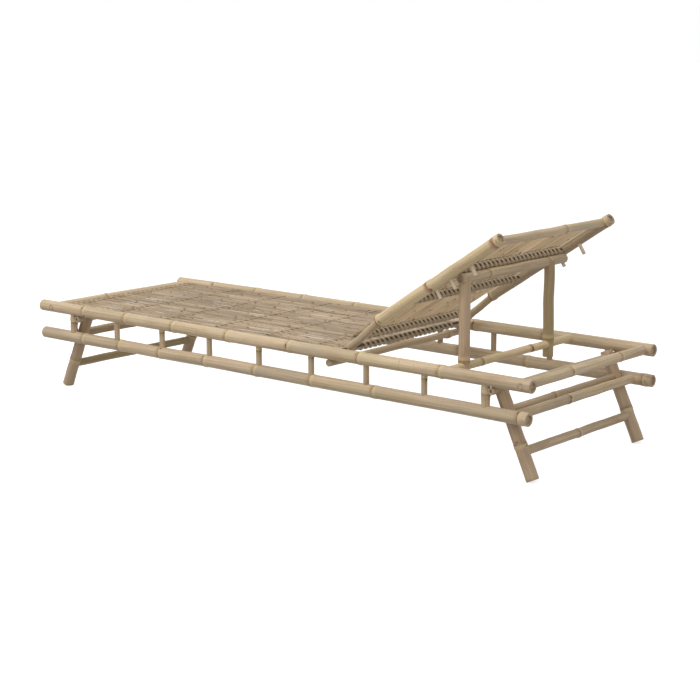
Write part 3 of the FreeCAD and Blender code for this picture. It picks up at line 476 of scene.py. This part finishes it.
# Every single pole, by body: its node, the way it runs, how its ends are cut, its skin and what
# its look has of its own, such as marks, which are nodes too slight for the frame.
openEnds, closedEnds, tongueEnds = (True, True), (False, False), (False, True)
# Sticks under the slats get painted shade over their upper half.
battenLook = {"paintedShade": 0.9, "swell": 0.04}
swollenPost = {"swell": 0.2, "swellSpread": 0.017, "most": 1.26}
swollenFarPost = {"swell": 0.12, "swellSpread": 0.012, "most": 1.16}
knobLook = {"marks": (0.585,), "swell": 0.32, "swellSpread": 0.015, "most": 1.4, "swellChange": 0.0}
poles = {
    "frame": [
        ("near_top_rail", alongX, openEnds, poleSkin, {}),
        ("far_top_rail", alongX, openEnds, poleSkin, {}),
        ("near_bottom_rail", alongX, openEnds, poleSkin, {}),
        ("far_bottom_rail", alongX, openEnds, poleSkin, {}),
        ("foot_stop_rail", alongY, closedEnds, poleSkin, {}),
        ("head_stop_rail", alongY, closedEnds, poleSkin, {}),
        ("foot_leg_rod", alongY, openEnds, stickSkin, {"bore": 0.45}),
        ("head_leg_rod", alongY, openEnds, stickSkin, {"bore": 0.45}),
        ("near_foot_post", alongZ, closedEnds, legSkin, {}),
        ("far_foot_post", alongZ, closedEnds, legSkin, {}),
        ("near_head_post", alongZ, closedEnds, stickSkin, swollenPost),
        ("far_head_post", alongZ, closedEnds, stickSkin, swollenFarPost),
        ("prop_pivot_rod", alongY, closedEnds, greenSkin, {"marks": (0.403,)}),
        ("hinge_bearer", alongY, closedEnds, stickSkin, knobLook),
    ],
    "backrest": [
        ("hinge_rod", alongY, closedEnds, stickSkin, battenLook),
        ("near_hinge_tongue", tongueWay, closedEnds, stickSkin, {}),
        ("far_hinge_tongue", tongueWay, closedEnds, stickSkin, {}),
        ("backrest_near_rail", backWay, tongueEnds, greenSkin, {"marks": (0.006,)}),
        ("backrest_far_rail", backWay, tongueEnds, stickSkin, {"marks": (0.006,)}),
        ("backrest_head_rail", alongY, closedEnds, stickSkin, {}),
        ("backrest_low_batten", alongY, closedEnds, stickSkin, battenLook),
        ("backrest_mid_batten", alongY, closedEnds, stickSkin, battenLook),
        ("backrest_high_batten", alongY, closedEnds, stickSkin, battenLook),
    ],
    "prop": [
        ("prop_near_post", propWay, closedEnds, legSkin, {}),
        ("prop_far_post", propWay, closedEnds, oliveSkin, {}),
        ("prop_top_bar", alongY, openEnds, stickSkin, {"marks": (0.1345, 0.44), "swell": 0.03}),
    ],
    "foot_legs": [
        ("near_foot_leg", footLegWay, tongueEnds, legSkin, {}),
        ("far_foot_leg", footLegWay, tongueEnds, legSkin, {}),
        ("foot_leg_high_stretcher", alongY, closedEnds, oliveSkin, {}),
        ("foot_leg_low_stretcher", alongY, closedEnds, oliveSkin, {}),
    ],
    "head_legs": [
        ("near_head_leg", headLegWay, tongueEnds, legSkin, {}),
        ("far_head_leg", headLegWay, tongueEnds, legSkin, {}),
        ("head_leg_high_stretcher", alongY, closedEnds, stickSkin, {}),
        ("head_leg_low_stretcher", alongY, closedEnds, stickSkin, {}),
    ],
}
seed = 100
for body, entries in poles.items():
    for node, way, hollow, skin, own in entries:
        seed += 1
        readFrom = "start" if "leg" in node and way is not alongY else "end"
        line = poleLine(cadPoints(node), way, readFrom)
        part = culm(line, seed, hollow, None, {**culmLook, **own})
        if node.endswith("_leg"):
            np.maximum(part[0][:, 2], 0, out=part[0][:, 2])
        piece(node + "_culm", [part], skin, body, [node])
print("poles made")

crossRail = {"radius": 0.015, "tenonRadius": 0.011, "tenonLength": 0.0265, "headMarks": (0.51,),
             "bore": 0.5, "boreDepth": 0.003}

# Cross rails: the pole between the top rails and the thinner tenons that go through them.
for node, marks in (("foot_cross_rail", ()), ("head_cross_rail", crossRail["headMarks"])):
    seed += 1
    line = poleLine(cadPoints(node), alongY, "end", crossRail["radius"])
    tenon = {"radius": crossRail["tenonRadius"], "length": crossRail["tenonLength"]}
    look = {**culmLook, "boreDepth": crossRail["boreDepth"], "bore": crossRail["bore"],
            "marks": marks}
    part = culm(line, seed, openEnds, tenon, look)
    piece(node + "_culm", [part], poleSkin, "frame", [node])

# Sticks that come in sets: spindles of either side, battens under the seat, pegs of the rack.
spindleMarks = {1: (0.062,), 3: (0.058,), 4: (0.064,), 6: (0.06,)}
sets = {
    "near_spindles": ("frame", alongX, alongZ, stickSkin, "bamboo_stick", {}, spindleMarks),
    "far_spindles": ("frame", alongX, alongZ, oliveSkin, "bamboo_stick", {}, spindleMarks),
    "seat_battens": ("frame", alongX, alongY, stickSkin, "bamboo_stick", battenLook, {}),
    "near_rack_pegs": ("backrest", backWay, backUp, pegSkin, "bamboo_peg", {}, {}),
    "far_rack_pegs": ("backrest", backWay, backUp, pegSkin, "bamboo_peg", {}, {}),
}
for node, (body, apart, way, skin, slotName, own, marks) in sets.items():
    parts = []
    for index, points in enumerate(runsAlong(cadPoints(node), apart, 0.03)):
        seed += 1
        look = {**culmLook, "around": 24, "bend": 0.0, **own, "marks": marks.get(index, ())}
        parts.append(culm(poleLine(points, way), seed, closedEnds, None, look))
    piece(node + "_sticks", parts, skin, body, [node])
print("sets of sticks made")

# Slats get painted shade on their underside within a short reach of each batten.
slatLook = {
    "step": 0.0085, "nearBatten": 0.014, "wave": 0.0007, "widthChange": 0.00096, "wider": 0.0004,
    "liftChange": 0.0006, "heightChange": 0.0005, "crown": 0.0016, "hollow": 0.0011, "edge": 0.0003,
    "firstKnot": 0.03, "knotEvery": 0.245, "knotSpread": 0.006, "knotRise": 0.0007,
    "knotWiden": 0.0004, "paintedShade": 0.9, "paintedShadeReach": 0.0125, "paintedShadeFull": 0.0085,
}
# Section of a strip: eight points over its top and five back under it, as shares of its half
# width, how far the top's points are worn down, and how far each point is on the underside.
slatAcross = np.array([-1, -0.9, -0.6, -0.25, 0.25, 0.6, 0.9, 1, 1, 0.7, 0, -0.7, -1])
slatWorn = np.array([-0.0009, -0.0002, 0, 0, 0, 0, -0.0002, -0.0009])
slatUnder = np.array([0, 0, 0, 0, 0, 0, 0, 0.2, 1, 1, 1, 1, 1])


# Strip of split bamboo carried along a line. Its line, width and height wander slowly, its top is
# arched and its underside hollow, its corners are worn, and it thickens a little at each node. Its
# underside has painted shade where it lies on a batten.
def slat(low, high, battens, lengthWay, widthWay, upWay, seed, look):
    rng = np.random.default_rng(seed)
    length, width, thick = high - low
    reach = np.linspace(-look["nearBatten"], look["nearBatten"], 9)
    near = (battens[:, None] - low[0] + reach).ravel()
    places = np.union1d(np.arange(0, length, look["step"]), near[(near > 0) & (near < length)])
    places = np.append(places[places < length - 0.002], length)
    stations = len(places)
    every = look["knotEvery"]
    knots = np.arange(rng.uniform(look["firstKnot"], every), length, every * rng.uniform(0.9, 1.1))
    gaps = places[:, None] - knots[None, :]
    node = np.exp(-(gaps / look["knotSpread"]) ** 2).sum(axis=1)
    halfWidth = width / 2 + look["wider"] + look["widthChange"] * wander(places, length, rng, 14)
    halfWidth += look["knotWiden"] * node
    centre = look["wave"] * wander(places, length, rng, 9)
    lift = look["liftChange"] * (rng.uniform(0, 1) + 0.5 * wander(places, length, rng, 5))
    top = thick - look["heightChange"] * (0.6 + 0.4 * wander(places, length, rng, 9))
    top += look["knotRise"] * node
    around, over = len(slatAcross), len(slatWorn)
    arch = look["crown"] * (1 - slatAcross[:over] ** 2)
    edge, hollow = look["edge"], look["hollow"]
    height = np.empty((stations, around))
    height[:, :over] = (top - look["crown"] * 0.75)[:, None] + arch + slatWorn
    height[:, over:] = np.array([edge, hollow * 0.5, hollow, hollow * 0.5, edge])
    height += np.maximum(lift, 0)[:, None]
    sideways = centre[:, None] + slatAcross[None, :] * halfWidth[:, None]
    middle = np.array([low[0], (low[1] + high[1]) / 2, low[2]])
    points = (places[:, None, None] * lengthWay + sideways[:, :, None] * widthWay
              + height[:, :, None] * upWay).reshape(-1, 3)
    points = points + middle[0] * lengthWay + middle[1] * widthWay + middle[2] * upWay
    points = np.vstack([points, points[:around].mean(axis=0), points[-around:].mean(axis=0)])
    run = np.repeat(places[:, None], around, axis=1)
    grain = np.stack([sideways, height * 3, run], -1).reshape(-1, 3)
    grain = np.vstack([grain, [[0, 0, 0], [0, 0, length]]]) + rng.uniform(0, 40, 3)
    nearest = gaps[np.arange(stations), np.abs(gaps).argmin(axis=1)]
    far = nodeShape["far"]
    joint = np.append(np.repeat(np.clip(nearest, -far, far), around), [far, far])
    tones = rng.uniform(-1, 1, len(knots) + 1) * 0.35 + rng.uniform(-1, 1) * 0.65
    tone = np.append(np.repeat(tones[np.searchsorted(knots, places)], around), [0, 0])
    cut = np.zeros(len(points))
    cut[:around] = cut[-around - 2:] = 1
    # Painted shade on the strip's underside: full over a batten, fading off it.
    away = np.abs(places[:, None] + low[0] - battens[None, :]).min(axis=1)
    dark = look["paintedShade"] * smooth(away, look["paintedShadeReach"], look["paintedShadeFull"])
    paintedShade = np.append((dark[:, None] * slatUnder[None, :]).ravel(), [0, 0])
    faces = [tuple(reversed(face)) for face in ringFaces(stations, around)]
    return points, faces, {"grain": grain, "joint": joint, "tone": tone, "cut": cut, "paintedShade": paintedShade}


# Runs of the row's points that lie over 1 mm apart across it, with the battens that they lie on.
# A slat has points at its two edges only, so it gives two runs: a strip along either edge, and
# nothing between them.
def slatRow(name, node, battenNodes, body, skin, lengthWay, upWay, look):
    ways = np.stack([lengthWay, alongY, upWay])
    battens = []
    for battenNode in battenNodes:
        for points in runsAlong(cadPoints(battenNode), lengthWay, 0.05):
            battens.append((points @ lengthWay).min() / 2 + (points @ lengthWay).max() / 2)
    parts = []
    for index, points in enumerate(runsAlong(cadPoints(node), alongY, 0.001)):
        own = points @ ways.T
        low, high = own.min(axis=0), own.max(axis=0)
        stripSeed = index * 7 + len(name)
        parts.append(slat(low, high, np.array(battens), lengthWay, alongY, upWay, stripSeed, look))
    piece(name, parts, skin, body, [node])


backBattens = ("backrest_low_batten", "backrest_mid_batten", "backrest_high_batten")
slatRow("seat_slats_split", "seat_slats", ["seat_battens"], "frame", slatSkin,
        alongX, alongZ, slatLook)
slatRow("backrest_slats_split", "backrest_slats", backBattens, "backrest", backSlatSkin,
        backWay, backUp, slatLook)
print("slats made")

cordLook = {"halfWidth": 0.0026, "halfThick": 0.0015, "apart": 0.0027, "perTurn": 32, "around": 10,
            "square": 0.55, "wander": 0.0021, "inset": 0.005}


# Cord wound on a stick: a helix about the stick's line, laid as two flat strands side by side.
# Its lower half is round and tight to the stick. Its upper half is squared, each coordinate being
# the round one's raised to a power, so that it stands straight up to the slats on either side.
def winding(name, node, body, lengthWay, upWay, turns, look):
    ways = np.stack([lengthWay, alongY, upWay])
    parts = []
    for index, points in enumerate(runsAlong(cadPoints(node), lengthWay, 0.05)):
        rng = np.random.default_rng(index + turns)
        own = points @ ways.T
        low, high = own.min(axis=0), own.max(axis=0)
        middle = (low + high) / 2
        radius = (high[2] - low[2]) / 2 - look["halfThick"]
        angle = np.linspace(0, 2 * np.pi * turns, turns * look["perTurn"] + 1)
        rise = np.linspace(low[1] + look["inset"], high[1] - look["inset"], len(angle))
        rise += look["wander"] * wander(rise - rise[0], rise[-1] - rise[0], rng, 40)
        beside, above = -np.sin(angle), -np.cos(angle)
        power = np.where(above > 0, look["square"], 1.0)
        wide = np.sign(beside) * np.abs(beside) ** power
        tall = np.sign(above) * np.abs(above) ** power
        outward = beside[:, None] * lengthWay + above[:, None] * upWay
        path = radius * (wide[:, None] * lengthWay + tall[:, None] * upWay)
        path += middle[0] * lengthWay + middle[2] * upWay + rise[:, None] * alongY
        for side in (-1, 1):
            strand = path + side * look["apart"] * alongY
            parts.append(tube(strand, outward, look["halfWidth"], look["halfThick"],
                              look["around"], index * 2 + side + turns))
    piece(name, parts, cordSkin, body, [node])


winding("seat_cord_wound", "seat_batten_cords", "frame", alongX, alongZ, 24,
        {**cordLook, "perTurn": 20, "around": 8})
backTurns = {"low_batten_cord": 24, "mid_batten_cord": 24, "high_batten_cord": 24, "hinge_cord": 20}
for node, turns in backTurns.items():
    winding(node + "_wound", node, "backrest", backWay, backUp, turns, cordLook)

stitchLook = {"halfWidth": 0.0009, "halfThick": 0.0006, "dive": 0.006, "slant": 0.002,
              "perStrip": 14, "around": 6, "clear": 0.0008, "beyond": 0.001}


# The same cord where it crosses the row. Its height is the top of the slats less a dive that is
# steep between strips, of which it counts as many as slatRow makes.
def stitches(name, slatNode, cordNodes, body, lengthWay, upWay, look):
    ways = np.stack([lengthWay, alongY, upWay])
    slats = cadPoints(slatNode) @ ways.T
    left, right = slats[:, 1].min(), slats[:, 1].max()
    top = slats[:, 2].max() + slatLook["crown"] * 0.25
    count = len(runsAlong(cadPoints(slatNode), alongY, 0.001))
    parts = []
    for cordNode in cordNodes:
        for index, points in enumerate(runsAlong(cadPoints(cordNode), lengthWay, 0.05)):
            own = points @ lengthWay
            step = np.linspace(0.5, count - 0.5, int((count - 1) * look["perStrip"]))
            arch = np.abs(np.sin(np.pi * step))
            height = top + look["clear"] - look["dive"] * (1 - arch) ** 5
            place = (own.min() + own.max()) / 2 + look["slant"] * np.cos(np.pi * step)
            beyond = look["beyond"]
            across = left - beyond + (right - left + 2 * beyond) * step / count
            path = place[:, None] * lengthWay + across[:, None] * alongY + height[:, None] * upWay
            outward = np.repeat(upWay[None, :], len(path), axis=0)
            parts.append(tube(path, outward, look["halfWidth"], look["halfThick"],
                              look["around"], index + 5))
    piece(name, parts, cordSkin, body, ())


backCords = ["low_batten_cord", "mid_batten_cord", "high_batten_cord"]
stitches("seat_cord_over_slats", "seat_slats", ["seat_batten_cords"], "frame",
         alongX, alongZ, stitchLook)
stitches("backrest_cord_over_slats", "backrest_slats", backCords, "backrest",
         backWay, backUp, stitchLook)
print("cords made")


# Nails and pins stay as they are in the frame, with a plain bamboo finish that needs no
# attributes of its own.
def nailMaterial():
    shade = Shading("Bamboo nail")
    place = shade.node("ShaderNodeTexCoord").outputs["Object"]
    mottle = shade.noise(place, grainScales["nail"], 3)
    tint = shade.mix(mottle, bambooColours["pale"], bambooColours["brown"])
    shade.link(tint, shade.shader.inputs["Base Color"])
    shade.shader.inputs["Roughness"].default_value = 0.6
    return shade.material


nailSkin = nailMaterial()
for node in ("leg_rod_pins", "prop_pins"):
    mesh = frame["nodes"][node].data
    mesh.materials.clear()
    mesh.materials.append(nailSkin)
print("nails finished")

studio = {
    "floorHalf": 30, "floorTone": 0.5, "floorGlow": 0.76, "floorBounce": 0.38,
    "skyTone": 0.8, "horizonTone": 0.5,
    "keyPlace": (-0.6, -1.9, 3.6), "keyTarget": (0.1, 0, 0.2), "keyPower": 78.0, "keySize": 2.4,
    "fillPlace": (3.4, -2.2, 1.8), "fillTarget": (0.3, 0, 0.3), "fillPower": 15.0, "fillSize": 2.0,
    "sensor": 36.0, "lens": 87.74, "camera": (3.4797, -4.0626, 1.2825), "tilt": -11.45, "turn": 39.8,
}


# Floor that keeps the shadow but is white to the camera and in reflections. Light that the object
# gets from it is weaker, as from a floor of its own tone.
def floorMaterial():
    shade = Shading("Floor")
    rays = shade.node("ShaderNodeLightPath").outputs
    seen = shade.math("MAXIMUM", rays["Is Camera Ray"],
                      shade.math("MAXIMUM", rays["Is Glossy Ray"], rays["Is Transmission Ray"]))
    bounce, tone = studio["floorBounce"], studio["floorTone"]
    colour = shade.mix(seen, (bounce, bounce, bounce), (tone, tone, tone))
    shade.link(colour, shade.shader.inputs["Base Color"])
    shade.shader.inputs["Roughness"].default_value = 1.0
    shade.shader.inputs["Specular IOR Level"].default_value = 0.0
    shade.shader.inputs["Emission Color"].default_value = (1, 1, 1, 1)
    glow = shade.math("MULTIPLY", seen, studio["floorGlow"])
    shade.link(glow, shade.shader.inputs["Emission Strength"])
    return shade.material


floorMesh = bpy.data.meshes.new("floor")
half = studio["floorHalf"]
corners = [(-half, -half, 0), (half, -half, 0), (half, half, 0), (-half, half, 0)]
floorMesh.from_pydata(corners, [], [(0, 1, 2, 3)])
floor = bpy.data.objects.new("floor", floorMesh)
floorMesh.materials.append(floorMaterial())
bpy.context.scene.collection.objects.link(floor)


# World: brighter overhead than at the horizon for the light it gives, white where it is seen.
def worldLight():
    world = bpy.data.worlds.new("Studio")
    bpy.context.scene.world = world
    world.use_nodes = True
    tree = world.node_tree
    background = tree.nodes["Background"]
    split = tree.nodes.new("ShaderNodeSeparateXYZ")
    tree.links.new(tree.nodes.new("ShaderNodeTexCoord").outputs["Generated"], split.inputs[0])
    sky = tree.nodes.new("ShaderNodeMapRange")
    tree.links.new(split.outputs["Z"], sky.inputs["Value"])
    sky.inputs["To Min"].default_value = studio["horizonTone"]
    sky.inputs["To Max"].default_value = studio["skyTone"]
    rays = tree.nodes.new("ShaderNodeLightPath").outputs
    seen = tree.nodes.new("ShaderNodeMath")
    seen.operation = "MAXIMUM"
    tree.links.new(rays["Is Camera Ray"], seen.inputs[0])
    tree.links.new(rays["Is Glossy Ray"], seen.inputs[1])
    strength = tree.nodes.new("ShaderNodeMix")
    tree.links.new(seen.outputs[0], strength.inputs[0])
    tree.links.new(sky.outputs[0], strength.inputs[2])
    strength.inputs[3].default_value = 1.0
    background.inputs["Color"].default_value = (1, 1, 1, 1)
    tree.links.new(strength.outputs[0], background.inputs["Strength"])


def areaLight(name, place, target, power, size):
    light = bpy.data.lights.new(name, "AREA")
    light.energy, light.size = power, size
    lamp = bpy.data.objects.new(name, light)
    lamp.location = place
    ahead = np.array(target) - np.array(place)
    turn = math.atan2(ahead[1], ahead[0]) - math.pi / 2
    tilt = math.atan2(math.hypot(ahead[0], ahead[1]), -ahead[2])
    lamp.rotation_euler = (tilt, 0, turn)
    bpy.context.scene.collection.objects.link(lamp)


worldLight()
for name in ("key", "fill"):
    areaLight(name, studio[name + "Place"], studio[name + "Target"], studio[name + "Power"],
              studio[name + "Size"])

cameraData = bpy.data.cameras.new("camera")
cameraData.sensor_width, cameraData.lens = studio["sensor"], studio["lens"]
camera = bpy.data.objects.new("camera", cameraData)
camera.location = studio["camera"]
camera.rotation_euler = (math.radians(90 + studio["tilt"]), 0, math.radians(studio["turn"]))
bpy.context.scene.collection.objects.link(camera)
bpy.context.scene.camera = camera
bpy.context.scene.view_settings.view_transform = "Standard"
print("stage set")
